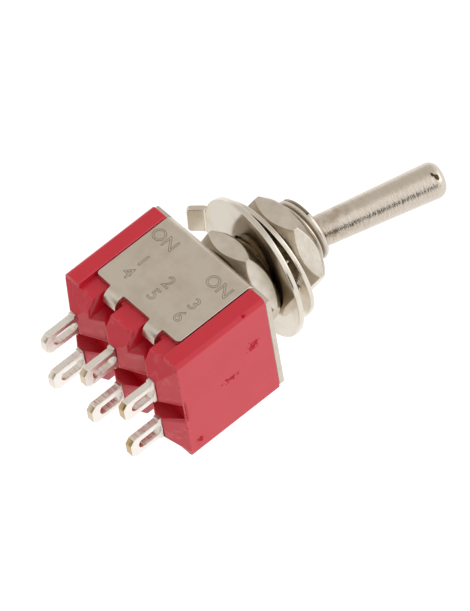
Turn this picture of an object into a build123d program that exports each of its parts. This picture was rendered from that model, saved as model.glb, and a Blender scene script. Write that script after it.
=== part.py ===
from build123d import *
import os
from math import cos, hypot, radians, sin, sqrt, tan

# Panel toggle switch, two poles and two positions, in millimetres.
# The origin is on the bushing's axis at the top of the bracket plate. +Z runs up the bushing,
# X is the way the lever tips, and Y is the way from one pole to the other.
# The part is drawn with the lever tipped towards +X.

# Spacing of the six terminals, which sets the size of the case
column_pitch = 4.6
row_pitch = 4.75
lug_end_inset = 2.0
lug_side_inset = 2.9

# Case, moulded in one piece
case_height = 9.1
rail_width = 1.65
case_corner = 0.45
case_end_wall = 1.0
case_side_wall = 1.0
divider_width = 1.0
divider_height = 1.6
mound_height = 1.15
mound_end_margin = 0.1
mound_side_margin = 0.05
mound_valley = 0.85

# Bracket, folded from one sheet
sheet = 0.5
sheet_gap = 0.05
bend_inside = 0.3
flap_edge_rise = 1.74
flap_side_gap = 0.1
flap_corner = 0.35
tongue_width = 1.45
tongue_straight = 0.2
tongue_curl = 0.3
tongue_turn = 80.0
tongue_end = 0.4
tongue_root = 0.18
notch_side_gap = 0.33
notch_reach = 1.85
notch_roof_wall = 0.9

# Bushing
thread_diameter = 5.6
thread_core_diameter = 5.0
thread_gap = 0.02
bushing_standout = 1.5
bushing_end_round = 0.35
flange_diameter = 8.0
flange_thickness = 0.4
bore_flare = 0.65
bore_flare_height = 2.1

# Lever
pivot_height = 5.5
lever_tilt = 15.8
lever_reach = 14.6
lever_mouth_diameter = 2.6
lever_tip_diameter = 3.0
lever_tip_round = 0.9
ball_diameter = 3.9
ball_gap = 0.05
mouth_gap = 0.05
tail_diameter = 1.3

# Nuts, locating ring and lock washer
nut_across_flats = 8.0
nut_thickness = 2.0
nut_face_diameter = 7.6
nut_countersink = 0.3
rear_nut_gap = 0.75
rear_nut_turn = -7.0
ring_diameter = 12.3
ring_thickness = 0.5
ring_bore_gap = 0.15
ring_rise = 0.71
ring_x_tilt = -3.6
ring_y_tilt = 4.9
tab_width = 2.65
tab_length = 1.5
tab_turn = 52.0
tab_offset = 0.2
tab_bend = 0.5
tab_corner = 0.35
washer_diameter = 11.0
washer_thickness = 0.4
washer_band = 1.45
washer_rise = 1.12
washer_teeth = 10
tooth_width = 1.1
tooth_twist = 18.0
tooth_gap = 0.1
tooth_root = 0.35
front_nut_gap = 0.62
front_nut_turn = -2.5

# Terminals
lug_width = 2.0
lug_thickness = 0.65
lug_length = 4.4
lug_corner = 0.45
eye_length = 2.3
eye_width = 1.0
eye_from_tip = 0.85
shank_width = 2.4
shoulder_drop = 0.3
head_width = 2.7
terminal_gap = 0.02

# Rockers, which tip on the centre terminals
fulcrum_height = 0.8
rocker_overhang = 0.4
rocker_width = 2.4
rocker_thickness = 0.35
rocker_rise = 14.0
rocker_swing = 6.0
rocker_seat_gap = 0.02
contact_gap = 0.03
ear_height = 0.8
ear_width = 0.3
ear_gap = 0.1
waist_gap = 0.2

# Yoke, plungers and springs, which ride on the lever's tail
yoke_length = 3.0
yoke_end_wall = 0.7
yoke_roof = 0.55
yoke_corner = 0.4
yoke_flange_gap = 0.3
tail_share = 0.5
tail_gap = 0.03
plunger_diameter = 1.24
plunger_gap = 0.04
nose_standout = 0.75
nose_gap = 0.25
spring_share = 0.5
spring_end_gap = 0.02
spring_wire = 0.12
spring_turns = 3
spring_gap = 0.09

# Heights that follow from the sizes above
case_top = -sheet
case_bottom = case_top - case_height
flap_edge = case_bottom + flap_edge_rise
notch_roof = flap_edge - tongue_straight - tongue_curl * sin(radians(tongue_turn)) + sheet_gap
floor = notch_roof + notch_roof_wall
fulcrum = floor + fulcrum_height
lug_tip = case_bottom - lug_length
mound_top = case_bottom - mound_height
shoulder = mound_top - shoulder_drop
rear_nut_bottom = rear_nut_gap
rear_nut_top = rear_nut_bottom + nut_thickness
ring_middle = rear_nut_top + ring_rise
washer_middle = ring_middle + washer_rise
front_nut_bottom = washer_middle + washer_thickness / 2 + front_nut_gap
front_nut_top = front_nut_bottom + nut_thickness
bushing_height = front_nut_top + bushing_standout

# Half sizes and places that several pieces share
half_length = column_pitch + lug_end_inset
case_length = 2 * half_length
recess_face = row_pitch / 2 + lug_side_inset
half_width = recess_face + sheet_gap + sheet
case_width = 2 * half_width
recess_width = case_length - 2 * rail_width
flap_width = recess_width - 2 * flap_side_gap
cavity_length = case_length - 2 * case_end_wall
cavity_width = 2 * (recess_face - case_side_wall)
tongue_middle = column_pitch / 2
thread_radius = thread_diameter / 2
core_radius = thread_core_diameter / 2
flange_bottom = -sheet - flange_thickness
ball_radius = ball_diameter / 2
mouth_radius = lever_mouth_diameter / 2
rocker_arm = column_pitch + rocker_overhang
tilt_cos = cos(radians(lever_tilt))
tilt_sin = sin(radians(lever_tilt))
columns = {"left": -column_pitch, "middle": 0.0, "right": column_pitch}
rows = {"front": -row_pitch / 2, "rear": row_pitch / 2}

# Reaches down the lever's axis, measured from the middle of its ball
rocker_top = fulcrum + rocker_seat_gap + rocker_thickness / cos(radians(rocker_rise))
nose_reach = pivot_height - rocker_top - nose_gap
yoke_bottom_reach = nose_reach - nose_standout
yoke_top_drop = pivot_height - flange_bottom + yoke_flange_gap
yoke_top_reach = (yoke_top_drop + yoke_length / 2 * tilt_sin) / tilt_cos
yoke_height = yoke_bottom_reach - yoke_top_reach
tail_depth = tail_share * yoke_height
tail_reach = yoke_top_reach + tail_depth
spring_top_reach = yoke_top_reach + yoke_roof
spring_room = spring_share * (yoke_height - yoke_roof)
plunger_top_reach = spring_top_reach + spring_room
plunger_length = nose_reach - plunger_top_reach
lever_place = Pos(0, 0, pivot_height) * Rot(0, lever_tilt, 0)


def turned(points):
    """Solid of revolution about Z from an outline of (radius, height) points."""
    return revolve(Plane.XZ * make_face(Polyline(*points, close=True)), Axis.Z)


def mound(column, row):
    """Sloped mound under the case that carries one lug: two roof shapes, crossed."""
    x = columns[column]
    low_x = -half_length if column == "left" else x - column_pitch / 2
    high_x = half_length if column == "right" else x + column_pitch / 2
    crest_x = lug_thickness / 2 + mound_end_margin
    crest_y = shank_width / 2 + mound_side_margin
    along = Polygon(
        (low_x, case_bottom), (high_x, case_bottom), (x + crest_x, mound_top), (x - crest_x, mound_top),
        align=None
    )
    across = Polygon(
        (mound_valley, case_bottom), (recess_face, case_bottom), (row_pitch / 2 + crest_y, mound_top),
        (row_pitch / 2 - crest_y, mound_top), align=None
    )
    roof_along = extrude(Plane.XZ * along, half_width, both=True)
    roof_across = extrude(Plane.YZ * across, half_length, both=True)
    if row == "front":
        roof_across = mirror(roof_across, Plane.XZ)
    return roof_along & roof_across


def make_case():
    """Moulded box, open at the top, with rails, flap recesses, tongue notches and terminal slots."""
    case = Pos(0, 0, case_bottom) * extrude(
        RectangleRounded(case_length, case_width, case_corner), case_height
    )
    for side in (-1, 1):
        recess = Box(recess_width, 2 * (half_width - recess_face), case_height)
        case -= Pos(0, side * half_width, case_bottom + case_height / 2) * recess
    lips = case.edges().filter_by(Axis.X).group_by(Axis.Z)[-1].group_by(SortBy.LENGTH)[-1]
    case = fillet(lips, bend_inside + sheet_gap)
    for column in columns:
        for row in rows:
            case += mound(column, row)
    cavity_depth = case_top - floor
    case -= Pos(0, 0, floor + cavity_depth / 2) * Box(cavity_length, cavity_width, cavity_depth)
    divider = Box(cavity_length, divider_width, divider_height)
    case += Pos(0, 0, floor + divider_height / 2) * divider
    notch = Box(tongue_width + 2 * notch_side_gap, 2 * notch_reach, notch_roof - mound_top)
    for side in (-1, 1):
        for x in (-tongue_middle, tongue_middle):
            case -= Pos(x, side * recess_face, (notch_roof + mound_top) / 2) * notch
    roof_edges = case.edges().filter_by(Axis.X)
    roof_edges = roof_edges.filter_by_position(Axis.Z, notch_roof - sheet_gap, notch_roof + sheet_gap)
    outermost = roof_edges.group_by(Axis.Y)
    case = fillet(outermost[0] + outermost[-1], tongue_curl - sheet_gap)
    slot = Box(lug_thickness + 2 * terminal_gap, shank_width + 2 * terminal_gap, floor - mound_top)
    for x in columns.values():
        for y in rows.values():
            case -= Pos(x, y, (floor + mound_top) / 2) * slot
    return case


def make_bracket():
    """Top plate and two folded flaps in one sheet, with curled tongues that grip the case."""
    bend_outside = bend_inside + sheet
    drop = -flap_edge
    outer = fillet(Rectangle(case_width, 2 * drop).vertices().group_by(Axis.Y)[-1], bend_outside)
    inner = Rectangle(case_width - 2 * sheet, 2 * (drop - sheet))
    inner = fillet(inner.vertices().group_by(Axis.Y)[-1], bend_inside)
    channel = (outer - inner) & Pos(0, drop / 2) * Rectangle(case_width, drop)
    channel = extrude(Plane.YZ * (Pos(0, -drop) * channel), flap_width / 2, both=True)
    corners = channel.edges().filter_by(Axis.Y).group_by(Axis.Z)[0]
    bracket = fillet(corners, flap_corner)
    bracket += Pos(0, 0, -sheet / 2) * Box(case_length, 2 * recess_face, sheet)
    for side in (-1, 1):
        for x in (-tongue_middle, tongue_middle):
            bracket += Pos(x, 0, 0) * tongue(side)
    outermost = tongue_middle + tongue_width
    roots = bracket.edges().filter_by(Axis.Y).group_by(Axis.Z)[0]
    roots = roots.filter_by_position(Axis.X, -outermost, outermost)
    bracket = fillet(roots, tongue_root)
    hole_radius = thread_radius + thread_gap
    return bracket - Pos(0, 0, -sheet / 2) * Cylinder(hole_radius, sheet)


def tongue(side):
    """Tongue at the foot of a flap: a short straight, a tight curl and an end that lies under the case."""
    middle = half_width - sheet / 2
    curl = tongue_curl + sheet / 2
    turn_cos = cos(radians(tongue_turn))
    turn_sin = sin(radians(tongue_turn))
    bend_z = flap_edge - tongue_straight
    bend_end = (middle - curl + curl * turn_cos, bend_z - curl * turn_sin)
    tip = (bend_end[0] - tongue_end * turn_sin, bend_end[1] - tongue_end * turn_cos)
    path = Line((middle, flap_edge + sheet), (middle, bend_z))
    path += CenterArc((middle - curl, bend_z), curl, 0, -tongue_turn)
    path += Line(bend_end, tip)
    strip = extrude(Plane.YZ * trace(path, sheet), tongue_width / 2, both=True)
    return strip if side > 0 else mirror(strip, Plane.XZ)


def make_bushing():
    """Flanged bushing: a flared bore, a cone that seats the ball and a slot that guides the lever."""
    outline = [(0, flange_bottom), (flange_diameter / 2, flange_bottom), (flange_diameter / 2, -sheet)]
    outline += [(thread_radius, -sheet)]
    for bottom, top in ((rear_nut_bottom, rear_nut_top), (front_nut_bottom, front_nut_top)):
        outline += [(thread_radius, bottom), (core_radius, bottom), (core_radius, top), (thread_radius, top)]
    outline += [(thread_radius, bushing_height), (0, bushing_height)]
    bushing = turned(outline)
    bushing = fillet(bushing.edges().filter_by(GeomType.CIRCLE).group_by(Axis.Z)[-1], bushing_end_round)
    seat = ball_radius + ball_gap
    flare = seat + bore_flare
    flare_top = flange_bottom + bore_flare_height
    cone_apex = pivot_height + sqrt(2) * seat
    cone_foot = cone_apex - seat
    bore = [(0, flange_bottom), (flare, flange_bottom), (seat, flare_top), (seat, cone_foot), (0, cone_apex)]
    return bushing - turned(bore) - lever_slot()


def lever_slot():
    """Room that the lever sweeps above its ball."""
    radius = mouth_radius + mouth_gap
    reach = (bushing_height - pivot_height) / tilt_cos + thread_radius
    swing = reach * tilt_sin
    rise = reach * tilt_cos
    room = extrude(Plane.XZ * Polygon((0, 0), (swing, rise), (-swing, rise), align=None), radius, both=True)
    for tilt in (-lever_tilt, lever_tilt):
        room += Rot(0, tilt, 0) * Pos(0, 0, reach / 2) * Cylinder(radius, reach)
    return Pos(0, 0, pivot_height) * room


def make_lever():
    """Bat lever, its pivot ball and its tail, turned from one bar."""
    tail_radius = tail_diameter / 2
    tip_radius = lever_tip_diameter / 2
    tail_joint = -sqrt(ball_radius**2 - tail_radius**2)
    shaft_joint = sqrt(ball_radius**2 - mouth_radius**2)
    mouth_reach = (bushing_height - pivot_height) / tilt_cos + bushing_end_round
    path = Polyline((0, -tail_reach), (tail_radius, -tail_reach), (tail_radius, tail_joint))
    path += ThreePointArc((tail_radius, tail_joint), (ball_radius, 0), (mouth_radius, shaft_joint))
    path += Polyline(
        (mouth_radius, shaft_joint), (mouth_radius, mouth_reach), (tip_radius, lever_reach), (0, lever_reach),
        (0, -tail_reach)
    )
    lever = revolve(Plane.XZ * make_face(path), Axis.Z)
    tip_edge = lever.edges().filter_by(GeomType.CIRCLE).group_by(Axis.Z)[-1]
    return lever_place * fillet(tip_edge, lever_tip_round)


def make_yoke():
    """Nylon block on the lever's tail, with a blind bore for each spring and plunger."""
    bore_radius = plunger_diameter / 2 + plunger_gap
    width = row_pitch + 2 * (bore_radius + yoke_end_wall)
    yoke = Box(yoke_length, width, yoke_height)
    yoke = fillet(yoke.edges().filter_by(Axis.Z), yoke_corner)
    yoke = Pos(0, 0, -yoke_top_reach - yoke_height / 2) * yoke
    socket = Cylinder(tail_diameter / 2 + tail_gap, tail_depth)
    yoke -= Pos(0, 0, -yoke_top_reach - tail_depth / 2) * socket
    bore_depth = yoke_bottom_reach - spring_top_reach
    for y in rows.values():
        yoke -= Pos(0, y, -yoke_bottom_reach + bore_depth / 2) * Cylinder(bore_radius, bore_depth)
    return lever_place * yoke


def make_plunger(row):
    """Round plunger with a domed nose."""
    radius = plunger_diameter / 2
    length = plunger_length - radius
    plunger = Pos(0, 0, -plunger_top_reach - length / 2) * Cylinder(radius, length)
    plunger += Pos(0, 0, -plunger_top_reach - length) * Sphere(radius)
    return lever_place * Pos(0, rows[row], 0) * plunger


def make_spring(row):
    """Compression spring of square wire between the yoke and a plunger."""
    coil_radius = plunger_diameter / 2 - spring_gap - spring_wire / 2
    height = spring_room - spring_wire - 2 * spring_end_gap
    helix = Helix(height / spring_turns, height, coil_radius)
    section = Plane(helix @ 0, x_dir=(0, 0, 1), z_dir=helix % 0) * Rectangle(spring_wire, spring_wire)
    coil = sweep(section, path=helix)
    lowest = -plunger_top_reach + spring_end_gap + spring_wire / 2
    return lever_place * Pos(0, rows[row], lowest) * coil


def make_rocker(row):
    """See-saw contact bent to a shallow V, with a waist that the centre terminal's ears hold."""
    rise = radians(rocker_rise)
    end_x = rocker_arm * cos(rise)
    end_z = rocker_arm * sin(rise)
    skin_x = rocker_thickness * sin(rise)
    skin_z = rocker_thickness * cos(rise)
    apex = rocker_thickness / cos(rise)
    outline = Polygon(
        (0, 0), (end_x, end_z), (end_x - skin_x, end_z + skin_z), (0, apex),
        (skin_x - end_x, end_z + skin_z), (-end_x, end_z), align=None
    )
    rocker = extrude(Plane.XZ * outline, rocker_width / 2, both=True)
    waist = head_width - 2 * ear_width - 2 * ear_gap
    waist_length = lug_thickness + 2 * waist_gap
    for side in (-1, 1):
        rocker -= Pos(0, side * rocker_width / 2, apex) * Box(waist_length, rocker_width - waist, rocker_arm)
    return Pos(0, rows[row], fulcrum + rocker_seat_gap) * Rot(0, -rocker_swing, 0) * rocker


def terminal_blank(top, row, x):
    """Stamped strip: a solder lug with an eye, a shank through the case floor and a wider head inside."""
    lug = Pos(0, (shoulder + lug_tip) / 2) * Rectangle(lug_width, shoulder - lug_tip)
    lug = chamfer(lug.vertices().group_by(Axis.Y)[0], lug_corner)
    shank = Pos(0, (floor + shoulder) / 2) * Rectangle(shank_width, floor - shoulder)
    head = Pos(0, (top + floor) / 2) * Rectangle(head_width, top - floor)
    eye_middle = lug_tip + eye_from_tip + eye_length / 2
    eye = Pos(0, eye_middle) * Rot(0, 0, 90) * SlotOverall(eye_length, eye_width)
    strip = extrude(Plane.YZ * (lug + shank + head - eye), lug_thickness / 2, both=True)
    return Pos(x, rows[row], 0) * strip


def make_common_terminal(row):
    """Centre terminal: its head is the rocker's fulcrum, with an ear at each side."""
    terminal = terminal_blank(fulcrum, row, columns["middle"])
    for side in (-1, 1):
        y = rows[row] + side * (head_width - ear_width) / 2
        ear = Box(lug_thickness, ear_width, ear_height)
        terminal += Pos(columns["middle"], y, fulcrum + ear_height / 2) * ear
    return terminal


def make_end_terminal(row, column):
    """End terminal: its head reaches up to meet the rocker's arm."""
    inner_edge = column_pitch - lug_thickness / 2
    rest_slope = tan(radians(rocker_rise - rocker_swing))
    top = fulcrum + rocker_seat_gap + inner_edge * rest_slope - contact_gap
    return terminal_blank(top, row, columns[column])


def make_nut(bottom, turn):
    """Hex nut, chamfered on both faces."""
    corner_radius = nut_across_flats / 2 / cos(radians(30))
    blank_radius = corner_radius + thread_gap
    blank = Cylinder(blank_radius, nut_thickness)
    blank = chamfer(blank.edges().filter_by(GeomType.CIRCLE), blank_radius - nut_face_diameter / 2)
    hexagon = RegularPolygon(corner_radius, 6)
    nut = blank & extrude(hexagon, nut_thickness / 2, both=True)
    bore_radius = core_radius + thread_gap
    nut -= Cylinder(bore_radius, nut_thickness)
    half = nut_thickness / 2
    for side in (-1, 1):
        sink = Cone(bore_radius + nut_countersink, bore_radius, nut_countersink)
        flip = Rot(0, 0, 0) if side < 0 else Rot(180, 0, 0)
        nut -= Pos(0, 0, side * (half - nut_countersink / 2)) * flip * sink
    return Pos(0, 0, bottom + half) * Rot(0, 0, turn) * nut


def make_locating_ring():
    """Flat ring with one tab bent down towards the case. It leans on the bushing."""
    outer_radius = ring_diameter / 2
    ring = Cylinder(outer_radius, ring_thickness)
    bend_x = outer_radius + tab_offset
    turn = radians(tab_turn)
    tab_end = (bend_x + tab_length * cos(turn), -tab_length * sin(turn))
    path = FilletPolyline((outer_radius - tab_bend, 0), (bend_x, 0), tab_end, radius=tab_bend)
    tab = extrude(Plane.XZ * trace(path, ring_thickness), tab_width / 2, both=True)
    end_face = tab.faces().sort_by(Axis.Z)[0]
    tab_corners = [edge for edge in tab.edges().filter_by(GeomType.LINE) if is_tab_corner(edge, end_face)]
    tab = fillet(tab_corners, tab_corner)
    ring += Rot(0, 0, 180) * tab
    ring -= Cylinder(thread_radius + ring_bore_gap, ring_thickness)
    return Pos(0, 0, ring_middle) * Rot(ring_x_tilt, ring_y_tilt, 0) * ring


def is_tab_corner(edge, end_face):
    """True for the two short edges that run through the sheet at the tab's free end."""
    across = abs(edge.length - ring_thickness) < ring_thickness / 10
    return across and abs(end_face.distance_to(edge)) < ring_thickness / 10


def make_lock_washer():
    """Toothed washer: a flat band with twisted teeth that point in at the bushing."""
    outer_radius = washer_diameter / 2
    band_radius = outer_radius - washer_band
    washer = Cylinder(outer_radius, washer_thickness) - Cylinder(band_radius, washer_thickness)
    tip_radius = hypot(thread_radius + tooth_gap, tooth_width / 2)
    root_radius = band_radius + tooth_root
    tooth = Box(root_radius - tip_radius, tooth_width, washer_thickness)
    tooth = Pos((root_radius + tip_radius) / 2, 0, 0) * Rot(tooth_twist, 0, 0) * tooth
    for index in range(washer_teeth):
        washer += Rot(0, 0, 360 * index / washer_teeth) * tooth
    return Pos(0, 0, washer_middle) * washer


def make_pieces():
    """Every piece of the switch, by node name."""
    pieces = {
        "case": make_case(),
        "bracket": make_bracket(),
        "bushing": make_bushing(),
        "lever": make_lever(),
        "actuator_yoke": make_yoke(),
        "rear_nut": make_nut(rear_nut_bottom, rear_nut_turn),
        "locating_ring": make_locating_ring(),
        "lock_washer": make_lock_washer(),
        "front_nut": make_nut(front_nut_bottom, front_nut_turn),
    }
    for row in rows:
        pieces["plunger_" + row] = make_plunger(row)
        pieces["plunger_spring_" + row] = make_spring(row)
        pieces["rocker_" + row] = make_rocker(row)
        pieces["common_terminal_" + row] = make_common_terminal(row)
        for column in ("left", "right"):
            pieces["terminal_" + row + "_" + column] = make_end_terminal(row, column)
    return pieces


os.makedirs("parts", exist_ok=True)
for name, piece in make_pieces().items():
    export_step(piece, os.path.join("parts", name + ".step"))
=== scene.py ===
from math import asin, cos, pi, radians, sin

import bmesh
import bpy
from bpy.props import FloatProperty, FloatVectorProperty, PointerProperty, StringProperty
from mathutils import Matrix, Vector


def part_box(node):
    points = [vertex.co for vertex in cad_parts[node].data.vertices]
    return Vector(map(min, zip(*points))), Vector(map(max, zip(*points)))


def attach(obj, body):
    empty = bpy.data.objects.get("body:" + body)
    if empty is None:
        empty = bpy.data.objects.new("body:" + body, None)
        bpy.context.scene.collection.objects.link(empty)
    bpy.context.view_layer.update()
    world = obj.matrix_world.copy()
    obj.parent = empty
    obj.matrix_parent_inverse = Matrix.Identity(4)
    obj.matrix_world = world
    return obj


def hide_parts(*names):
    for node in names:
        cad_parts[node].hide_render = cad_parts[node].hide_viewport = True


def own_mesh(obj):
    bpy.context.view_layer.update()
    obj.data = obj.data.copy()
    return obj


bl_info = {
    "name": "Panel Toggle Switch",
    "version": (1, 0, 0),
    "blender": (4, 5, 0),
    "location": "View3D > Sidebar > Switch",
    "description": "Dresses the switch: moulded case, plated metal, cut thread, stamped marks and a studio",
    "category": "Object",
}

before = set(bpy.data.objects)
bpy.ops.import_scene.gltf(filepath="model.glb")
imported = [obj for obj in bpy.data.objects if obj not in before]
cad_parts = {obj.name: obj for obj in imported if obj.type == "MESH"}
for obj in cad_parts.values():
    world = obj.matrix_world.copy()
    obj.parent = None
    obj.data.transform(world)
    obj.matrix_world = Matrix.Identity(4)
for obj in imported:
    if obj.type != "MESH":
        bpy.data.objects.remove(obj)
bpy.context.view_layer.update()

MM = 0.001
PIVOT = Vector((0.0, 0.0, 5.5 * MM))
LEVER_TILT = radians(15.8)
FLAP_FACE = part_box("bracket")[0].y
LUG_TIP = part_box("terminal_front_left")[0].z
BUSHING_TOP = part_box("bushing")[1].z
# Points this close are one point, and faces this flat are one face
SAME_POINT = 0.0005 * MM
SAME_FACE = radians(0.4)
# An edge is rounded where it is crisp and long enough, with no needle point beside its ends
NEAR_POINT = 0.012 * MM
CRISP_ANGLE = radians(25)
NEEDLE_ANGLE = radians(12)
SHORTEST_EDGE = 0.04 * MM
STEPS_PER_TURN = 48
# A colour Mix takes its share at input 0 and its colours at 6 and 7, and gives the blend at output 2
RGBA = {"data_type": "RGBA"}
# Rubbed places on the case: the middle and the reach each way, in millimetres
SCUFFS = (
    ((6.6, -1.63, -2.26), (0.5, 0.8, 0.8)), ((6.6, 0.12, -4.8), (0.5, 0.4, 1.3)),
    ((6.5, -5.8, -2.65), (0.25, 0.3, 0.2)), ((6.6, 4.4, -8.6), (0.5, 0.5, 0.6)),
)
# Painted dark reflection near the lever's tip, the same way
TIP_DARK_REFLECTION = ((4.5, -1.27, 18.58), (0.6, 0.45, 0.34))
TERMINALS = [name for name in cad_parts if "terminal_" in name]


def linear(code):
    """Linear colour from an sRGB hex code."""
    channels = [int(code[start:start + 2], 16) / 255 for start in (1, 3, 5)]
    return tuple(c / 12.92 if c <= 0.04045 else ((c + 0.055) / 1.055) ** 2.4 for c in channels) + (1.0,)


class SwitchCaseLook(bpy.types.PropertyGroup):
    edge_round: FloatProperty(
        name="Edge round", description="Radius on the moulding's edges",
        default=0.08 * MM, unit="LENGTH", precision=6
    )
    red: FloatVectorProperty(
        name="Red", description="Colour of the moulding", size=4, subtype="COLOR",
        default=linear("#D01D32")
    )
    deep_red: FloatVectorProperty(
        name="Deep red", description="Colour of its flow clouds", size=4, subtype="COLOR",
        default=linear("#C4172C")
    )
    scuff_red: FloatVectorProperty(
        name="Scuff", description="Colour of the rubbed spots", size=4, subtype="COLOR",
        default=linear("#B40C22")
    )
    # Painted shade: colour of the hollow between the rows of lugs
    painted_shade_red: FloatVectorProperty(
        name="Hollow", description="Colour between the lugs", size=4, subtype="COLOR",
        default=linear("#A20A18")
    )
    # Painted reflection: colour of the pale smears on the mounds
    painted_sheen_red: FloatVectorProperty(
        name="Painted sheen", description="Colour of reflection smears", size=4, subtype="COLOR",
        default=linear("#DC626C")
    )


class SwitchMetalLook(bpy.types.PropertyGroup):
    sheet_round: FloatProperty(
        name="Sheet edge", description="Round on stamped sheet edges",
        default=0.07 * MM, unit="LENGTH", precision=6
    )
    nut_round: FloatProperty(
        name="Nut edge", description="Round on the nuts' edges",
        default=0.06 * MM, unit="LENGTH", precision=6
    )
    thread_pitch: FloatProperty(
        name="Thread pitch", description="Rise of one turn of thread",
        default=0.5 * MM, unit="LENGTH", precision=6
    )
    thread_depth: FloatProperty(
        name="Thread depth", description="Depth of the cut",
        default=0.24 * MM, unit="LENGTH", precision=6
    )
    nickel: FloatVectorProperty(
        name="Nickel", description="Colour of the plating", size=4, subtype="COLOR",
        default=linear("#D2C8BB")
    )
    tarnish: FloatVectorProperty(
        name="Tarnish", description="Colour of dull plating", size=4, subtype="COLOR",
        default=linear("#A8967C")
    )
    bright: FloatVectorProperty(
        name="Bright", description="Colour of barrelled plating", size=4, subtype="COLOR",
        default=linear("#DDD5C8")
    )
    # Dark brown of the painted shade on the thread and the painted dark reflection on the nuts
    painted_dark_brown: FloatVectorProperty(
        name="Painted dark", description="Colour of brown, shaded plating", size=4, subtype="COLOR",
        default=linear("#6E5C40")
    )
    # Colour of the painted dark reflection near the lever's tip, and of the lugs' root stain
    darkened: FloatVectorProperty(
        name="Darkened", description="Colour under worn plating", size=4, subtype="COLOR",
        default=linear("#4A3A2C")
    )
    silver: FloatVectorProperty(
        name="Silver", description="Colour of the lugs", size=4, subtype="COLOR",
        default=linear("#EFE9E1")
    )
    brass: FloatVectorProperty(
        name="Brass", description="Bare metal of the lugs", size=4, subtype="COLOR",
        default=linear("#B9985A")
    )


class SwitchMarkLook(bpy.types.PropertyGroup):
    left: StringProperty(name="Left mark", description="Word on the left of the flap", default="ON")
    right: StringProperty(name="Right mark", description="Word on the right of the flap", default="ON")
    size: FloatProperty(
        name="Mark size", description="Height of the stamped type",
        default=1.6 * MM, unit="LENGTH", precision=6
    )
    stroke: FloatProperty(
        name="Stroke", description="Width of a stamped line",
        default=0.04 * MM, unit="LENGTH", precision=6
    )


class SwitchStageLook(bpy.types.PropertyGroup):
    key_power: FloatProperty(name="Key", description="Power of the key light", default=0.4, unit="POWER")
    flag_width: FloatProperty(
        name="Flag width", description="Width of the dark flag",
        default=0.14, unit="LENGTH", precision=4
    )
    flag_side: FloatProperty(
        name="Flag place", description="Place of the dark flag across",
        default=-0.06, unit="LENGTH", precision=4
    )
    bounce_power: FloatProperty(
        name="Bounce", description="Power of the rear light", default=0.1, unit="POWER"
    )
    sky: FloatProperty(name="Sky", description="Brightness of the white surround", default=1.12, min=0.0)
    floor_drop: FloatProperty(
        name="Floor drop", description="Height of the floor",
        default=-340.0 * MM, unit="LENGTH", precision=6
    )
    paper: FloatVectorProperty(
        name="Floor", description="Colour of the floor", size=4, subtype="COLOR",
        default=linear("#F4F3F1")
    )
    shade: FloatVectorProperty(
        name="Shade", description="Colour of the surround's dim side", size=4, subtype="COLOR",
        default=linear("#D0CCC7")
    )


def per_mm(size):
    """Pattern scale whose features are the given size in millimetres."""
    return 1.0 / (size * MM)


def add(tree, kind, settings, inputs):
    """Adds a shader node, then sets or links its inputs by name or number."""
    node = tree.nodes.new("ShaderNode" + kind)
    for name, value in settings.items():
        setattr(node, name, value)
    for name, value in inputs.items():
        if isinstance(value, bpy.types.NodeSocket):
            tree.links.new(value, node.inputs[name])
        else:
            node.inputs[name].default_value = value
    return node


def start_material(name):
    """New material: its tree, its shader and the place on the piece that patterns read."""
    material = bpy.data.materials.new(name)
    material.use_nodes = True
    tree = material.node_tree
    shader = tree.nodes["Principled BSDF"]
    place = add(tree, "TexCoord", {}, {}).outputs["Object"]
    return material, tree, shader, place


def spot(tree, place, ragged, centre, reach):
    """Mask of a spot with a ragged rim, from its middle and its reach each way in millimetres."""
    fade = -0.3
    rim_start = 0.3
    rim_end = 0.38
    near = add(tree, "Mapping", {"vector_type": "TEXTURE"}, {
        "Vector": place, "Location": Vector(centre) * MM, "Scale": Vector(reach) * MM
    })
    gap = add(tree, "VectorMath", {"operation": "LENGTH"}, {0: near.outputs[0]})
    fleck = add(tree, "Math", {"operation": "MULTIPLY_ADD"}, {0: gap.outputs["Value"], 1: fade, 2: ragged})
    mask = add(tree, "MapRange", {}, {"Value": fleck.outputs[0], "From Min": rim_start, "From Max": rim_end})
    return mask.outputs[0]


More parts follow.
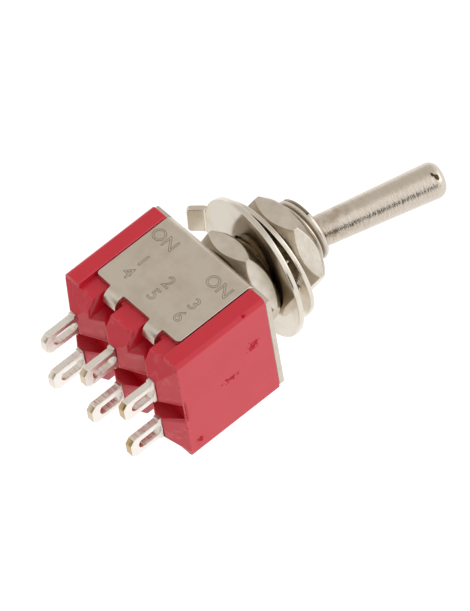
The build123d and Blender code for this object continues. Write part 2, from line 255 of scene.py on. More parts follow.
def moulded_thermoset():
    # Red thermoset pressed in a polished mould. The eye gets an even red with faint flow clouds, a fine
    # matt grain that spreads reflections, painted shade in the hollow between the rows of lugs (a darker red
    # with its sheen cut), painted reflections as pale smears on the mounds round the lugs, and a few scuffs.
    look = bpy.context.scene.switch_case
    hollow_dark = 0.9 * MM
    hollow_edge = 1.5 * MM
    mounds_start = -9.2 * MM
    mounds_full = -9.5 * MM
    material, tree, shader, place = start_material("moulded_red_thermoset")
    clouds = add(tree, "TexNoise", {}, {"Vector": place, "Scale": per_mm(2.4), "Detail": 3.0})
    body = add(tree, "Mix", RGBA, {0: clouds.outputs[0], 6: look.red, 7: look.deep_red})
    axes = add(tree, "SeparateXYZ", {}, {0: place})
    across = add(tree, "Math", {"operation": "ABSOLUTE"}, {0: axes.outputs["Y"]})
    inside = add(tree, "MapRange", {}, {
        "Value": across.outputs[0], "From Min": hollow_dark, "From Max": hollow_edge,
        "To Min": 1.0, "To Max": 0.0
    })
    below = add(tree, "MapRange", {}, {
        "Value": axes.outputs["Z"], "From Min": mounds_start, "From Max": mounds_full
    })
    hollow = add(tree, "Math", {"operation": "MULTIPLY"}, {0: inside.outputs[0], 1: below.outputs[0]})
    # Painted shade: the hollow between the rows of lugs gets a darker red
    body = add(tree, "Mix", RGBA, {0: hollow.outputs[0], 6: body.outputs[2], 7: look.painted_shade_red})
    # Painted reflection: pale smears on the mounds round the lugs, outside the hollow
    sheen_noise = add(tree, "TexNoise", {}, {
        "Vector": place, "Scale": per_mm(0.9), "Detail": 3.0, "Distortion": 1.0
    })
    smear = add(tree, "MapRange", {}, {
        "Value": sheen_noise.outputs[0], "From Min": 0.55, "From Max": 0.68, "To Max": 0.4
    })
    outer = add(tree, "Math", {"operation": "SUBTRACT", "use_clamp": True}, {
        0: below.outputs[0], 1: hollow.outputs[0]
    })
    painted_sheen = add(tree, "Math", {"operation": "MULTIPLY"}, {0: smear.outputs[0], 1: outer.outputs[0]})
    body = add(tree, "Mix", RGBA, {0: painted_sheen.outputs[0], 6: body.outputs[2], 7: look.painted_sheen_red})
    ragged = add(tree, "TexNoise", {}, {"Vector": place, "Scale": per_mm(0.3), "Detail": 3.0})
    spots = spot(tree, place, ragged.outputs[0], *SCUFFS[0])
    for scuff in SCUFFS[1:]:
        more = spot(tree, place, ragged.outputs[0], *scuff)
        spots = add(tree, "Math", {"operation": "MAXIMUM"}, {0: spots, 1: more}).outputs[0]
    colour = add(tree, "Mix", RGBA, {0: spots, 6: body.outputs[2], 7: look.scuff_red})
    tree.links.new(colour.outputs[2], shader.inputs["Base Color"])
    sheen = add(tree, "MapRange", {}, {"Value": clouds.outputs[0], "To Min": 0.3, "To Max": 0.42})
    tree.links.new(sheen.outputs[0], shader.inputs["Roughness"])
    # Mould grain is about 0.05 mm in life, drawn at 0.16 mm so that it shows
    grain = add(tree, "TexNoise", {}, {"Vector": place, "Scale": per_mm(0.16), "Detail": 2.0})
    bump = add(tree, "Bump", {}, {"Strength": 0.18, "Distance": 0.02 * MM, "Height": grain.outputs[0]})
    tree.links.new(bump.outputs[0], shader.inputs["Normal"])
    # Sheen is cut where the hollow's shade is painted, and on the scuffs
    wear_and_painted_light = add(tree, "Math", {"operation": "MAXIMUM"}, {0: hollow.outputs[0], 1: spots})
    sheen_cut = add(tree, "MapRange", {}, {"Value": wear_and_painted_light.outputs[0], "To Min": 0.5, "To Max": 0.05})
    tree.links.new(sheen_cut.outputs[0], shader.inputs["Specular IOR Level"])
    shader.inputs["IOR"].default_value = 1.55
    return material


def nickel_plated_sheet():
    # Nickel on rolled steel sheet, pressed and folded. The eye gets a warm satin grey, faint lines
    # along the roll, and pale and dull clouds where the plating is uneven.
    look = bpy.context.scene.switch_metal
    material, tree, shader, place = start_material("nickel_plated_steel_sheet")
    clouds = add(tree, "TexNoise", {}, {"Vector": place, "Scale": per_mm(1.3), "Detail": 4.0})
    dull = add(tree, "MapRange", {}, {
        "Value": clouds.outputs[0], "From Min": 0.4, "From Max": 0.8, "To Max": 0.35
    })
    colour = add(tree, "Mix", RGBA, {0: dull.outputs[0], 6: look.nickel, 7: look.tarnish})
    tree.links.new(colour.outputs[2], shader.inputs["Base Color"])
    rolled = add(tree, "Mapping", {}, {"Vector": place, "Scale": (0.08, 1.0, 1.0)})
    lines = add(tree, "TexNoise", {}, {"Vector": rolled.outputs[0], "Scale": per_mm(0.12), "Detail": 2.0})
    rough = add(tree, "MapRange", {}, {"Value": lines.outputs[0], "To Min": 0.26, "To Max": 0.44})
    tree.links.new(rough.outputs[0], shader.inputs["Roughness"])
    bump = add(tree, "Bump", {}, {"Strength": 0.12, "Distance": 0.01 * MM, "Height": lines.outputs[0]})
    tree.links.new(bump.outputs[0], shader.inputs["Normal"])
    shader.inputs["Metallic"].default_value = 1.0
    return material


def nickel_plated_turned():
    # Nickel on turned brass. The eye gets a warm satin metal with fine rings from the lathe tool,
    # a brown mottle where dust reaches the lever's root, and a painted dark reflection as a spot near its
    # tip.
    look = bpy.context.scene.switch_metal
    material, tree, shader, place = start_material("nickel_plated_brass_turned")
    along = add(tree, "Mapping", {"vector_type": "TEXTURE"}, {
        "Vector": place, "Location": PIVOT, "Rotation": (0.0, LEVER_TILT, 0.0)
    })
    height = add(tree, "SeparateXYZ", {}, {0: along.outputs[0]}).outputs["Z"]
    # Tool marks are about 0.05 mm apart in life, drawn at 0.15 mm so that they show
    around = add(tree, "Mapping", {}, {"Vector": along.outputs[0], "Scale": (0.25, 0.25, 1.0)})
    rings = add(tree, "TexNoise", {}, {"Vector": around.outputs[0], "Scale": per_mm(0.15), "Detail": 3.0})
    rough = add(tree, "MapRange", {}, {"Value": rings.outputs[0], "To Min": 0.14, "To Max": 0.34})
    tree.links.new(rough.outputs[0], shader.inputs["Roughness"])
    bump = add(tree, "Bump", {}, {"Strength": 0.8, "Distance": 0.06 * MM, "Height": rings.outputs[0]})
    tree.links.new(bump.outputs[0], shader.inputs["Normal"])
    patches = add(tree, "TexNoise", {}, {"Vector": place, "Scale": per_mm(0.7), "Detail": 4.0})
    darkening_low = 4.5 * MM
    darkening_high = 8.5 * MM
    root = add(tree, "MapRange", {}, {
        "Value": height, "From Min": darkening_low, "From Max": darkening_high, "To Min": 0.7, "To Max": 0.1
    })
    mottle = add(tree, "MapRange", {}, {"Value": patches.outputs[0], "From Min": 0.4, "From Max": 0.65})
    stain = add(tree, "Math", {"operation": "MULTIPLY"}, {0: root.outputs[0], 1: mottle.outputs[0]})
    colour = add(tree, "Mix", RGBA, {0: stain.outputs[0], 6: look.nickel, 7: look.tarnish})
    # Painted dark reflection: a dark spot near the tip
    darkened = spot(tree, place, patches.outputs[0], *TIP_DARK_REFLECTION)
    colour = add(tree, "Mix", RGBA, {0: darkened, 6: colour.outputs[2], 7: look.darkened})
    tree.links.new(colour.outputs[2], shader.inputs["Base Color"])
    shader.inputs["Metallic"].default_value = 1.0
    return material


def nickel_plated_thread():
    # Nickel on brass cut with a die. The eye gets bright crests, and painted shade in a dark brown: in the
    # roots of the thread, and low down, under the washers.
    look = bpy.context.scene.switch_metal
    material, tree, shader, place = start_material("nickel_plated_brass_threaded")
    flat = add(tree, "Mapping", {}, {"Vector": place, "Scale": (1.0, 1.0, 0.0)})
    radius = add(tree, "VectorMath", {"operation": "LENGTH"}, {0: flat.outputs[0]}).outputs["Value"]
    root_radius = 2.6 * MM
    crest_radius = 2.76 * MM
    # Painted shade in the roots of the thread
    root = add(tree, "MapRange", {}, {
        "Value": radius, "From Min": root_radius, "From Max": crest_radius, "To Min": 0.9, "To Max": 0.0
    })
    height = add(tree, "SeparateXYZ", {}, {0: place}).outputs["Z"]
    darkening_low = 4.8 * MM
    darkening_high = 6.0 * MM
    # Painted shade low down, under the washers
    low = add(tree, "MapRange", {}, {
        "Value": height, "From Min": darkening_low, "From Max": darkening_high, "To Min": 0.95, "To Max": 0.0
    })
    painted_shade = add(tree, "Math", {"operation": "MAXIMUM"}, {0: root.outputs[0], 1: low.outputs[0]})
    colour = add(tree, "Mix", RGBA, {0: painted_shade.outputs[0], 6: look.nickel, 7: look.painted_dark_brown})
    tree.links.new(colour.outputs[2], shader.inputs["Base Color"])
    smears = add(tree, "TexNoise", {}, {"Vector": place, "Scale": per_mm(0.5), "Detail": 3.0})
    rough = add(tree, "MapRange", {}, {"Value": smears.outputs[0], "To Min": 0.2, "To Max": 0.4})
    tree.links.new(rough.outputs[0], shader.inputs["Roughness"])
    shader.inputs["Metallic"].default_value = 1.0
    return material


def nickel_plated_nut():
    # Nickel on hexagon brass bar, barrel finished. The eye gets champagne facets with a soft,
    # slightly pitted shine, duller patches, and a painted dark reflection in brown on the turned faces and
    # chamfers.
    look = bpy.context.scene.switch_metal
    material, tree, shader, place = start_material("nickel_plated_brass_barrelled")
    patches = add(tree, "TexNoise", {}, {"Vector": place, "Scale": per_mm(1.1), "Detail": 4.0})
    dull = add(tree, "MapRange", {}, {
        "Value": patches.outputs[0], "From Min": 0.35, "From Max": 0.75, "To Max": 0.4
    })
    colour = add(tree, "Mix", RGBA, {0: dull.outputs[0], 6: look.bright, 7: look.tarnish})
    # Painted dark reflection: the faces that look along the axis, turned faces and chamfers, are browned
    normal = add(tree, "TexCoord", {}, {}).outputs["Normal"]
    facing = add(tree, "SeparateXYZ", {}, {0: normal})
    upright = add(tree, "Math", {"operation": "ABSOLUTE"}, {0: facing.outputs["Z"]})
    turned = add(tree, "MapRange", {}, {
        "Value": upright.outputs[0], "From Min": 0.3, "From Max": 0.6, "To Max": 0.55
    })
    colour = add(tree, "Mix", RGBA, {0: turned.outputs[0], 6: colour.outputs[2], 7: look.painted_dark_brown})
    tree.links.new(colour.outputs[2], shader.inputs["Base Color"])
    rough = add(tree, "MapRange", {}, {"Value": patches.outputs[0], "To Min": 0.22, "To Max": 0.4})
    tree.links.new(rough.outputs[0], shader.inputs["Roughness"])
    pits = add(tree, "TexNoise", {}, {"Vector": place, "Scale": per_mm(0.28), "Detail": 3.0})
    bump = add(tree, "Bump", {}, {"Strength": 0.45, "Distance": 0.03 * MM, "Height": pits.outputs[0]})
    tree.links.new(bump.outputs[0], shader.inputs["Normal"])
    shader.inputs["Metallic"].default_value = 1.0
    return material


def nickel_plated_spring_steel():
    # Nickel on stamped spring steel. The eye gets the brightest of the plated parts, nearly a mirror,
    # with a little ripple left by the press.
    look = bpy.context.scene.switch_metal
    material, tree, shader, place = start_material("nickel_plated_spring_steel")
    ripple = add(tree, "TexNoise", {}, {"Vector": place, "Scale": per_mm(1.6), "Detail": 2.0})
    dull = add(tree, "MapRange", {}, {
        "Value": ripple.outputs[0], "From Min": 0.5, "From Max": 0.8, "To Max": 0.3
    })
    colour = add(tree, "Mix", RGBA, {0: dull.outputs[0], 6: look.bright, 7: look.tarnish})
    tree.links.new(colour.outputs[2], shader.inputs["Base Color"])
    rough = add(tree, "MapRange", {}, {"Value": ripple.outputs[0], "To Min": 0.1, "To Max": 0.24})
    tree.links.new(rough.outputs[0], shader.inputs["Roughness"])
    bump = add(tree, "Bump", {}, {"Strength": 0.25, "Distance": 0.02 * MM, "Height": ripple.outputs[0]})
    tree.links.new(bump.outputs[0], shader.inputs["Normal"])
    shader.inputs["Metallic"].default_value = 1.0
    return material


def silver_plated_brass():
    # Silver on blanked brass strip. The eye gets bright white metal with soft smears, shear lines on the
    # narrow cut sides, bare brass on the faces cropped after plating, and a faint brown stain where the
    # lug leaves the case.
    look = bpy.context.scene.switch_metal
    darkening_low = LUG_TIP + 2.4 * MM
    darkening_high = LUG_TIP + 3.4 * MM
    cropped_top = LUG_TIP + 0.6 * MM
    plated_side = -6.0 * MM
    bare_side = 4.0 * MM
    material, tree, shader, place = start_material("silver_plated_brass")
    smears = add(tree, "TexNoise", {}, {"Vector": place, "Scale": per_mm(0.9), "Detail": 3.0})
    axes = add(tree, "SeparateXYZ", {}, {0: place})
    height = axes.outputs["Z"]
    root = add(tree, "MapRange", {}, {
        "Value": height, "From Min": darkening_low, "From Max": darkening_high, "To Max": 0.6
    })
    darkened = add(tree, "MapRange", {}, {"Value": smears.outputs[0], "From Min": 0.35, "From Max": 0.7})
    stain = add(tree, "Math", {"operation": "MULTIPLY"}, {0: root.outputs[0], 1: darkened.outputs[0]})
    plated = add(tree, "Mix", RGBA, {0: stain.outputs[0], 6: look.silver, 7: look.tarnish})
    near_tip = add(tree, "Math", {"operation": "LESS_THAN"}, {0: height, 1: cropped_top})
    normal = add(tree, "TexCoord", {}, {}).outputs["Normal"]
    facing = add(tree, "SeparateXYZ", {}, {0: normal})
    down = add(tree, "MapRange", {}, {
        "Value": facing.outputs["Z"], "From Min": -0.35, "From Max": -0.6, "To Max": 0.85
    })
    column = add(tree, "MapRange", {}, {
        "Value": axes.outputs["X"], "From Min": plated_side, "From Max": bare_side, "To Min": 0.1
    })
    patchy = add(tree, "Math", {"operation": "MULTIPLY"}, {0: down.outputs[0], 1: column.outputs[0]})
    bare = add(tree, "Math", {"operation": "MULTIPLY"}, {0: near_tip.outputs[0], 1: patchy.outputs[0]})
    colour = add(tree, "Mix", RGBA, {0: bare.outputs[0], 6: plated.outputs[2], 7: look.brass})
    tree.links.new(colour.outputs[2], shader.inputs["Base Color"])
    rough = add(tree, "MapRange", {}, {"Value": smears.outputs[0], "To Min": 0.24, "To Max": 0.38})
    tree.links.new(rough.outputs[0], shader.inputs["Roughness"])
    # Shear lines are about 0.05 mm apart in life, drawn at 0.16 mm so that they show
    across = add(tree, "Mapping", {}, {"Vector": place, "Scale": (0.15, 1.0, 1.0)})
    lines = add(tree, "TexNoise", {}, {"Vector": across.outputs[0], "Scale": per_mm(0.16), "Detail": 2.0})
    sideways = add(tree, "Math", {"operation": "ABSOLUTE"}, {0: facing.outputs["Y"]})
    sheared = add(tree, "MapRange", {}, {"Value": sideways.outputs[0], "From Min": 0.4, "From Max": 0.8})
    cut = add(tree, "Math", {"operation": "MULTIPLY_ADD"}, {
        0: lines.outputs[0], 1: sheared.outputs[0], 2: smears.outputs[0]
    })
    bump = add(tree, "Bump", {}, {"Strength": 0.8, "Distance": 0.05 * MM, "Height": cut.outputs[0]})
    tree.links.new(bump.outputs[0], shader.inputs["Normal"])
    shader.inputs["Metallic"].default_value = 1.0
    return material


def plain_finish(name, dark, light, size, rough, metallic):
    """Plain finish: two close tones in clouds of a size in millimetres, and an uneven polish."""
    material, tree, shader, place = start_material(name)
    clouds = add(tree, "TexNoise", {}, {"Vector": place, "Scale": per_mm(size), "Detail": 3.0})
    colour = add(tree, "Mix", RGBA, {0: clouds.outputs[0], 6: linear(dark), 7: linear(light)})
    tree.links.new(colour.outputs[2], shader.inputs["Base Color"])
    polish = add(tree, "MapRange", {}, {"Value": clouds.outputs[0], "To Min": rough[0], "To Max": rough[1]})
    tree.links.new(polish.outputs[0], shader.inputs["Roughness"])
    bump = add(tree, "Bump", {}, {"Strength": 0.15, "Distance": 0.01 * MM, "Height": clouds.outputs[0]})
    tree.links.new(bump.outputs[0], shader.inputs["Normal"])
    shader.inputs["Metallic"].default_value = metallic
    return material


def joined(node_name):
    """Copy of a CAD piece with its loose triangles merged and its flat faces made whole."""
    shape = bmesh.new()
    shape.from_mesh(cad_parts[node_name].data)
    bmesh.ops.remove_doubles(shape, verts=shape.verts, dist=SAME_POINT)
    bmesh.ops.dissolve_limit(shape, angle_limit=SAME_FACE, verts=shape.verts, edges=shape.edges)
    return shape


def made_of(shape, name):
    """New object in the scene with the shape as its mesh."""
    mesh = bpy.data.meshes.new(name)
    shape.to_mesh(mesh)
    shape.free()
    thing = bpy.data.objects.new(name, mesh)
    bpy.context.scene.collection.objects.link(thing)
    return thing


def put(shape, name, body, material, replaced):
    """Makes a finished piece of a shape: smooth, with its material, riding on a body."""
    piece = made_of(shape, name)
    piece.data.materials.append(material)
    piece.data.shade_smooth()
    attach(piece, body)
    if replaced:
        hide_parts(replaced)
    return piece


def screw(shape, section, turns, rise):
    """Sweeps a section up a screw line about Z and closes its ends."""
    steps = round(STEPS_PER_TURN * turns)
    bmesh.ops.spin(
        shape, geom=[section, *section.edges, *section.verts], cent=(0, 0, 0), axis=(0, 0, 1),
        dvec=(0, 0, rise / steps), angle=2 * pi * turns, steps=steps, use_merge=False
    )
    bmesh.ops.remove_doubles(shape, verts=shape.verts, dist=SAME_POINT)
    bmesh.ops.holes_fill(shape, edges=[edge for edge in shape.edges if edge.is_boundary])
    bmesh.ops.recalc_face_normals(shape, faces=shape.faces)


def needle(edge):
    """True where a face beside the edge comes to a needle point at one of its ends."""
    corners = [loop for face in edge.link_faces for loop in face.loops if loop.vert in edge.verts]
    return min(corner.calc_angle() for corner in corners) < NEEDLE_ANGLE


def round_edges(piece, width):
    """Rounds the crisp edges, as a mould, a press tool or a tumbling barrel leaves them."""
    shape = bmesh.new()
    shape.from_mesh(piece.data)
    bmesh.ops.remove_doubles(shape, verts=shape.verts, dist=NEAR_POINT)
    weight = shape.edges.layers.float.new("bevel_weight_edge")
    for edge in shape.edges:
        crisp = len(edge.link_faces) == 2 and edge.calc_face_angle() > CRISP_ANGLE
        rounded = crisp and edge.is_convex and edge.calc_length() > SHORTEST_EDGE and not needle(edge)
        edge[weight] = float(rounded)
        edge.smooth = rounded or not crisp
    shape.to_mesh(piece.data)
    shape.free()
    bevel = piece.modifiers.new("rounded_edges", "BEVEL")
    bevel.width = width
    bevel.segments = 3
    bevel.limit_method = "WEIGHT"
    bevel.use_clamp_overlap = False
    flats = piece.modifiers.new("flat_faces_stay_flat", "WEIGHTED_NORMAL")
    flats.weight = 100
    flats.keep_sharp = True


class SWITCH_OT_case(bpy.types.Operator):
    """Moulded case with rounded edges"""
    bl_idname = "switch.case"
    bl_label = "Case"

    def execute(self, context):
        look = context.scene.switch_case
        case = put(joined("case"), "case_moulding", "body", moulded_thermoset(), "case")
        # The rounded edges get a paler red: partly edge wear, partly a painted highlight along them
        wear_and_painted_light = plain_finish(
            "edge_wear_and_highlight_thermoset", "#C41A2E", "#DA4656", size=0.6, rough=(0.2, 0.4), metallic=0.0
        )
        case.data.materials.append(wear_and_painted_light)
        round_edges(case, look.edge_round)
        case.modifiers["rounded_edges"].material = 1
        return {"FINISHED"}


class SWITCH_OT_bracket(bpy.types.Operator):
    """Folded sheet bracket"""
    bl_idname = "switch.bracket"
    bl_label = "Bracket"

    def execute(self, context):
        look = context.scene.switch_metal
        bracket = put(
            joined("bracket"), "folded_bracket", "body", nickel_plated_sheet(), "bracket"
        )
        round_edges(bracket, look.sheet_round)
        return {"FINISHED"}


class SWITCH_OT_marks(bpy.types.Operator):
    """Stamped words and terminal numbers on the flap"""
    bl_idname = "switch.marks"
    bl_label = "Marks"

    def execute(self, context):
        look = context.scene.switch_marks
        # The stamp leaves thin outlines; each line is a dark nickel, which is the painted shade of the
        # stamped groove
        groove_shade = plain_finish(
            "stamped_nickel_groove_shade", "#5A534A", "#7A7268", size=0.3, rough=(0.4, 0.6), metallic=1.0
        )
        # Places on the flap in millimetres, across and up
        left_place = (-3.37, -2.6)
        right_place = (3.05, -2.65)
        number_rows = (-5.1, -6.65)
        number_spacing = 3.0
        words = [("mark_on_left", look.left, *left_place), ("mark_on_right", look.right, *right_place)]
        for row, height in enumerate(number_rows):
            for column in range(3):
                number = str(1 + column + 3 * row)
                words.append(("mark_number_" + number, number, (column - 1) * number_spacing, height))
        for name, text, x, z in words:
            self.stamp(name, text, Vector((x * MM, FLAP_FACE, z * MM)), look, groove_shade)
        return {"FINISHED"}

    def stamp(self, name, text, place, look, groove_shade):
        """Outlines of a word as thin lines, half sunk in the flap's face."""
        curve = bpy.data.curves.new(name, "FONT")
        curve.body = text
        curve.size = look.size
        curve.align_x = "CENTER"
        curve.fill_mode = "NONE"
        curve.bevel_depth = look.stroke / 2
        curve.bevel_resolution = 1
        curve.resolution_u = 6
        letter = bpy.data.objects.new(name, curve)
        graph = bpy.context.evaluated_depsgraph_get()
        mesh = bpy.data.meshes.new_from_object(letter, depsgraph=graph)
        bpy.data.objects.remove(letter)
        bpy.data.curves.remove(curve)
        mesh.transform(Matrix.Translation(place) @ Matrix.Rotation(radians(90), 4, "X"))
        shape = bmesh.new()
        shape.from_mesh(mesh)
        bpy.data.meshes.remove(mesh)
        put(shape, name, "body", groove_shade, None)


class SWITCH_OT_bushing(bpy.types.Operator):
    """Bushing with its thread cut"""
    bl_idname = "switch.bushing"
    bl_label = "Bushing"

    def execute(self, context):
        look = context.scene.switch_metal
        metal = nickel_plated_thread()
        bushing = put(joined("bushing"), "threaded_bushing", "body", metal, "bushing")
        groove = self.groove(look.thread_pitch, look.thread_depth)
        cut = bushing.modifiers.new("thread", "BOOLEAN")
        cut.operation = "DIFFERENCE"
        cut.solver = "EXACT"
        cut.object = groove
        threaded = bpy.data.meshes.new_from_object(bushing.evaluated_get(context.evaluated_depsgraph_get()))
        bushing.modifiers.clear()
        blank = bushing.data
        bushing.data = threaded
        bpy.data.meshes.remove(blank)
        threaded.name = bushing.name
        threaded.set_sharp_from_angle(angle=radians(32))
        bpy.data.objects.remove(groove)
        return {"FINISHED"}

    def groove(self, pitch, depth):
        """Coil with the section of the thread's groove, up to just under the bushing's end."""
        shape = bmesh.new()
        radius = 2.8 * MM
        outside = 0.05 * MM
        low = 0.3 * MM
        end_gap = 0.2 * MM
        half_mouth = 0.46 * pitch
        half_root = 0.07 * pitch
        section = [
            (radius + outside, low - half_mouth), (radius - depth, low - half_root),
            (radius - depth, low + half_root), (radius + outside, low + half_mouth),
        ]
        corners = [shape.verts.new((across, 0.0, height)) for across, height in section]
        rise = BUSHING_TOP - end_gap - low
        screw(shape, shape.faces.new(corners), rise / pitch, rise)
        return made_of(shape, "thread_groove")


class SWITCH_OT_lever(bpy.types.Operator):
    """Turned bat lever with its ball and tail"""
    bl_idname = "switch.lever"
    bl_label = "Lever"

    def execute(self, context):
        lever = put(self.turned(), "turned_lever", "lever", nickel_plated_turned(), "lever")
        lever.data.set_sharp_from_angle(angle=radians(40))
        return {"FINISHED"}

    def turned(self):
        """Lever spun from its outline, then tipped about the middle of its ball."""
        # Radii, then heights from the middle of the ball, in millimetres
        ball = 1.95
        tail = 0.65
        mouth = 1.3
        tip = 1.5
        tip_round = 0.9
        tail_chamfer = 0.1
        tail_end = -9.05
        taper_start = 3.883
        reach = 14.597
        arc_steps = 20
        tip_steps = 8
        steps_around = 96
        shape = bmesh.new()
        outline = [(0.0, tail_end), (tail - tail_chamfer, tail_end), (tail, tail_end + tail_chamfer)]
        start = radians(-90) + asin(tail / ball)
        stop = radians(90) - asin(mouth / ball)
        for step in range(arc_steps + 1):
            turn = start + (stop - start) * step / arc_steps
            outline.append((ball * cos(turn), ball * sin(turn)))
        outline.append((mouth, taper_start))
        round_across = tip - tip_round
        round_height = reach - tip_round
        for step in range(tip_steps + 1):
            turn = radians(90) * step / tip_steps
            outline.append((round_across + tip_round * cos(turn), round_height + tip_round * sin(turn)))
        outline.append((0.0, reach))
        points = [shape.verts.new((radius * MM, 0.0, height * MM)) for radius, height in outline]
        edges = [shape.edges.new(pair) for pair in zip(points, points[1:])]
        bmesh.ops.spin(
            shape, geom=points + edges, cent=(0, 0, 0), axis=(0, 0, 1), angle=2 * pi, steps=steps_around,
            use_merge=True
        )
        bmesh.ops.remove_doubles(shape, verts=shape.verts, dist=SAME_POINT)
        bmesh.ops.recalc_face_normals(shape, faces=shape.faces)
        place = Matrix.Translation(PIVOT) @ Matrix.Rotation(LEVER_TILT, 4, "Y")
        bmesh.ops.transform(shape, matrix=place, verts=shape.verts)
        return shape


class SWITCH_OT_nuts(bpy.types.Operator):
    """The two hex nuts"""
    bl_idname = "switch.nuts"
    bl_label = "Nuts"

    def execute(self, context):
        look = context.scene.switch_metal
        metal = nickel_plated_nut()
        for name in ("rear_nut", "front_nut"):
            nut = put(joined(name), name + "_barrelled", "body", metal, name)
            round_edges(nut, look.nut_round)
        return {"FINISHED"}


class SWITCH_OT_washers(bpy.types.Operator):
    """Locating ring and toothed lock washer"""
    bl_idname = "switch.washers"
    bl_label = "Ring and washer"

    def execute(self, context):
        look = context.scene.switch_metal
        metal = nickel_plated_spring_steel()
        for name in ("locating_ring", "lock_washer"):
            washer = put(joined(name), name + "_stamping", "body", metal, name)
            round_edges(washer, look.sheet_round)
        return {"FINISHED"}


class SWITCH_OT_terminals(bpy.types.Operator):
    """The six blanked terminals"""
    bl_idname = "switch.terminals"
    bl_label = "Terminals"

    def execute(self, context):
        look = context.scene.switch_metal
        metal = silver_plated_brass()
        for name in TERMINALS:
            lug = put(joined(name), name + "_blank", "body", metal, name)
            round_edges(lug, look.sheet_round)
        return {"FINISHED"}


class SWITCH_OT_mechanism(bpy.types.Operator):
    """Springs inside the case, and finishes of the yoke, plungers and rockers"""
    bl_idname = "switch.mechanism"
    bl_label = "Mechanism"

    def execute(self, context):
        # Moulded nylon: milky white, waxy, with faint clouds
        nylon = plain_finish(
            "moulded_nylon", "#DAD6CC", "#ECE9E1", size=0.8, rough=(0.35, 0.5), metallic=0.0
        )
        # Drawn spring wire: dark bright steel with fine die marks
        wire = plain_finish(
            "drawn_spring_steel", "#8E8B88", "#B4B1AD", size=0.1, rough=(0.2, 0.35), metallic=1.0
        )
        # Blanked contact strip: pale silver alloy, burnished where it rubs
        strip = plain_finish(
            "blanked_silver_alloy", "#D8D2C6", "#EDE9E1", size=0.5, rough=(0.22, 0.4), metallic=1.0
        )
        finishes = {"actuator_yoke": nylon}
        for row in ("front", "rear"):
            finishes["plunger_" + row] = nylon
            finishes["rocker_" + row] = strip
            self.spring(row, wire)
        for name, material in finishes.items():
            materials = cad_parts[name].data.materials
            materials.clear()
            materials.append(material)
        return {"FINISHED"}

    def spring(self, row, wire):
        """Round-wire spring under the yoke's roof."""
        node = "plunger_spring_" + row
        low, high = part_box(node)
        # Heights along the lever from the middle of its ball
        top = -7.94 * MM
        bottom = -9.31 * MM
        end_gap = 0.02 * MM
        radius = 0.06 * MM
        coil_radius = 0.47 * MM
        turns = 3
        wire_sides = 10
        shape = bmesh.new()
        ring = bmesh.ops.create_circle(shape, cap_ends=True, segments=wire_sides, radius=radius)["verts"]
        bmesh.ops.rotate(shape, matrix=Matrix.Rotation(radians(90), 3, "X"), verts=ring)
        bmesh.ops.translate(shape, vec=(coil_radius, 0.0, bottom + radius), verts=ring)
        screw(shape, ring[0].link_faces[0], turns, top - end_gap - bottom - 2 * radius)
        aside = Matrix.Translation((0.0, (low.y + high.y) / 2, 0.0))
        place = aside @ Matrix.Translation(PIVOT) @ Matrix.Rotation(LEVER_TILT, 4, "Y")
        bmesh.ops.transform(shape, matrix=place, verts=shape.verts)
        spring = put(shape, "coiled_spring_" + row, "lever", wire, node)
        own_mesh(spring)


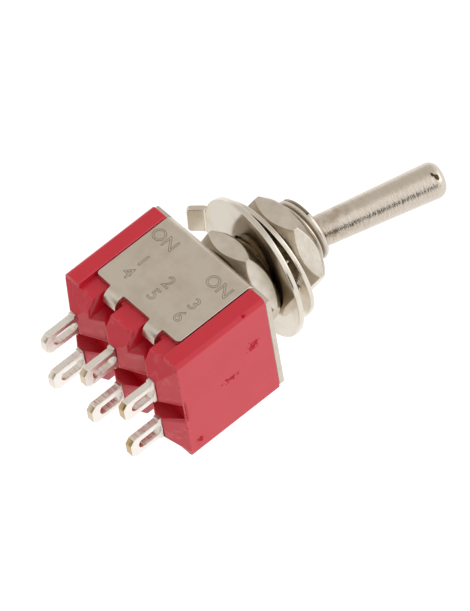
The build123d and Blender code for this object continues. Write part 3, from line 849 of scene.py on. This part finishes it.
class SWITCH_OT_stage(bpy.types.Operator):
    """Floor, white surround, soft lights and the camera"""
    bl_idname = "switch.stage"
    bl_label = "Stage"

    def execute(self, context):
        look = context.scene.switch_stage
        self.floor(look)
        self.surround(context.scene, look)
        self.light("key_light", place=(0.25, -0.20, 0.40), size=0.40, power=look.key_power)
        self.light("bounce_light", place=(-0.10, 0.40, -0.23), size=0.35, power=look.bounce_power)
        # Flocked card: warm black and dead matt, so that it only darkens what the metal reflects
        card = plain_finish(
            "black_flocked_card", "#1A1714", "#241F1B", size=3.0, rough=(0.8, 0.95), metallic=0.0
        )
        lever_side = (0.30, look.flag_side, -0.03)
        self.flag("lever_flag", place=lever_side, width=look.flag_width, height=0.17, card=card)
        self.flag("low_flag", place=(0.02, -0.12, -0.26), width=0.26, height=0.20, card=card)
        self.camera(context.scene)
        context.scene.view_settings.view_transform = "Standard"
        return {"FINISHED"}

    def floor(self, look):
        """Pale matt floor, well below the part because the camera looks up at it."""
        material, tree, shader, place = start_material("matt_floor_paper")
        clouds = add(tree, "TexNoise", {}, {"Vector": place, "Scale": per_mm(60.0), "Detail": 2.0})
        tone = add(tree, "Mix", RGBA, {0: clouds.outputs[0], 6: look.paper, 7: linear("#ECEAE7")})
        tree.links.new(tone.outputs[2], shader.inputs["Base Color"])
        shader.inputs["Roughness"].default_value = 0.85
        shape = bmesh.new()
        bmesh.ops.create_grid(shape, x_segments=1, y_segments=1, size=6.0)
        bmesh.ops.translate(shape, vec=(0.0, 0.0, look.floor_drop), verts=shape.verts)
        floor = made_of(shape, "floor")
        floor.data.materials.append(material)

    def flag(self, name, place, width, height, card):
        """Dark card that faces the part and is seen only in the metal."""
        shape = bmesh.new()
        bmesh.ops.create_grid(shape, x_segments=1, y_segments=1, size=0.5)
        bmesh.ops.scale(shape, vec=(width, height, 1.0), verts=shape.verts)
        turn = Vector(place).to_track_quat("Z", "Y").to_matrix()
        bmesh.ops.rotate(shape, matrix=turn, verts=shape.verts)
        bmesh.ops.translate(shape, vec=place, verts=shape.verts)
        flag = made_of(shape, name)
        flag.data.materials.append(card)
        flag.visible_camera = False

    def surround(self, scene, look):
        """White all round, dimmer towards the upper left front, which the flat metal reflects."""
        world = bpy.data.worlds.new("studio_surround")
        world.use_nodes = True
        scene.world = world
        tree = world.node_tree
        dim_side = (-0.5045, -0.7984, 0.3286)
        direction = add(tree, "TexCoord", {}, {}).outputs["Generated"]
        side = add(tree, "VectorMath", {"operation": "DOT_PRODUCT"}, {0: direction, 1: dim_side})
        dim = add(tree, "MapRange", {"interpolation_type": "SMOOTHSTEP"}, {
            "Value": side.outputs["Value"], "From Min": 0.5, "From Max": 0.93
        })
        white = linear("#FFFFFF")
        tone = add(tree, "Mix", RGBA, {0: dim.outputs[0], 6: white, 7: look.shade})
        background = tree.nodes["Background"]
        tree.links.new(tone.outputs[2], background.inputs["Color"])
        background.inputs["Strength"].default_value = look.sky

    def light(self, name, place, size, power):
        """Square soft box that faces the part."""
        data = bpy.data.lights.new(name, "AREA")
        data.size = size
        data.energy = power
        lamp = bpy.data.objects.new(name, data)
        bpy.context.scene.collection.objects.link(lamp)
        lamp.location = place
        lamp.rotation_euler = Vector(place).to_track_quat("Z", "Y").to_euler()
        lamp.visible_camera = False

    def camera(self, scene):
        """Camera at the photograph's angle: low, in front and to the right, rolled with the part."""
        data = bpy.data.cameras.new("photo_camera")
        data.sensor_width = 36.0
        data.lens = 683.7
        data.shift_x = 0.0240
        data.shift_y = -0.0209
        data.clip_end = 20.0
        camera = bpy.data.objects.new("photo_camera", data)
        scene.collection.objects.link(camera)
        place = Vector((454.0, -718.6, -295.8)) * MM
        back = Vector((0.5045, -0.7984, -0.3286)).normalized()
        up = Vector((-0.5599, -0.5922, 0.5795))
        right = up.cross(back).normalized()
        up = back.cross(right)
        turn = Matrix((right, up, back)).transposed().to_4x4()
        camera.matrix_world = Matrix.Translation(place) @ turn
        scene.camera = camera


STEPS = ("case", "bracket", "marks", "bushing", "lever", "nuts", "washers", "terminals", "mechanism", "stage")


class SWITCH_PT_panel(bpy.types.Panel):
    """Sidebar list of the steps and their settings"""
    bl_idname = "SWITCH_PT_panel"
    bl_label = "Panel Toggle Switch"
    bl_space_type = "VIEW_3D"
    bl_region_type = "UI"
    bl_category = "Switch"

    def draw(self, context):
        for step in STEPS:
            self.layout.operator("switch." + step)
        for group in GROUPS:
            settings = getattr(context.scene, group)
            for setting in settings.bl_rna.properties:
                if not setting.is_readonly and setting.identifier != "name":
                    self.layout.prop(settings, setting.identifier)


GROUPS = {
    "switch_case": SwitchCaseLook,
    "switch_metal": SwitchMetalLook,
    "switch_marks": SwitchMarkLook,
    "switch_stage": SwitchStageLook,
}

CLASSES = (
    SwitchCaseLook, SwitchMetalLook, SwitchMarkLook, SwitchStageLook,
    SWITCH_OT_case, SWITCH_OT_bracket, SWITCH_OT_marks, SWITCH_OT_bushing, SWITCH_OT_lever, SWITCH_OT_nuts,
    SWITCH_OT_washers, SWITCH_OT_terminals, SWITCH_OT_mechanism, SWITCH_OT_stage, SWITCH_PT_panel,
)


def register():
    for item in CLASSES:
        bpy.utils.register_class(item)
    for name, group in GROUPS.items():
        setattr(bpy.types.Scene, name, PointerProperty(type=group))


def unregister():
    for name in GROUPS:
        delattr(bpy.types.Scene, name)
    for item in reversed(CLASSES):
        bpy.utils.unregister_class(item)


def main():
    register()
    bpy.ops.switch.case()
    bpy.ops.switch.bracket()
    bpy.ops.switch.marks()
    bpy.ops.switch.bushing()
    bpy.ops.switch.lever()
    bpy.ops.switch.nuts()
    bpy.ops.switch.washers()
    bpy.ops.switch.terminals()
    bpy.ops.switch.mechanism()
    bpy.ops.switch.stage()


if __name__ == "__main__":
    main()
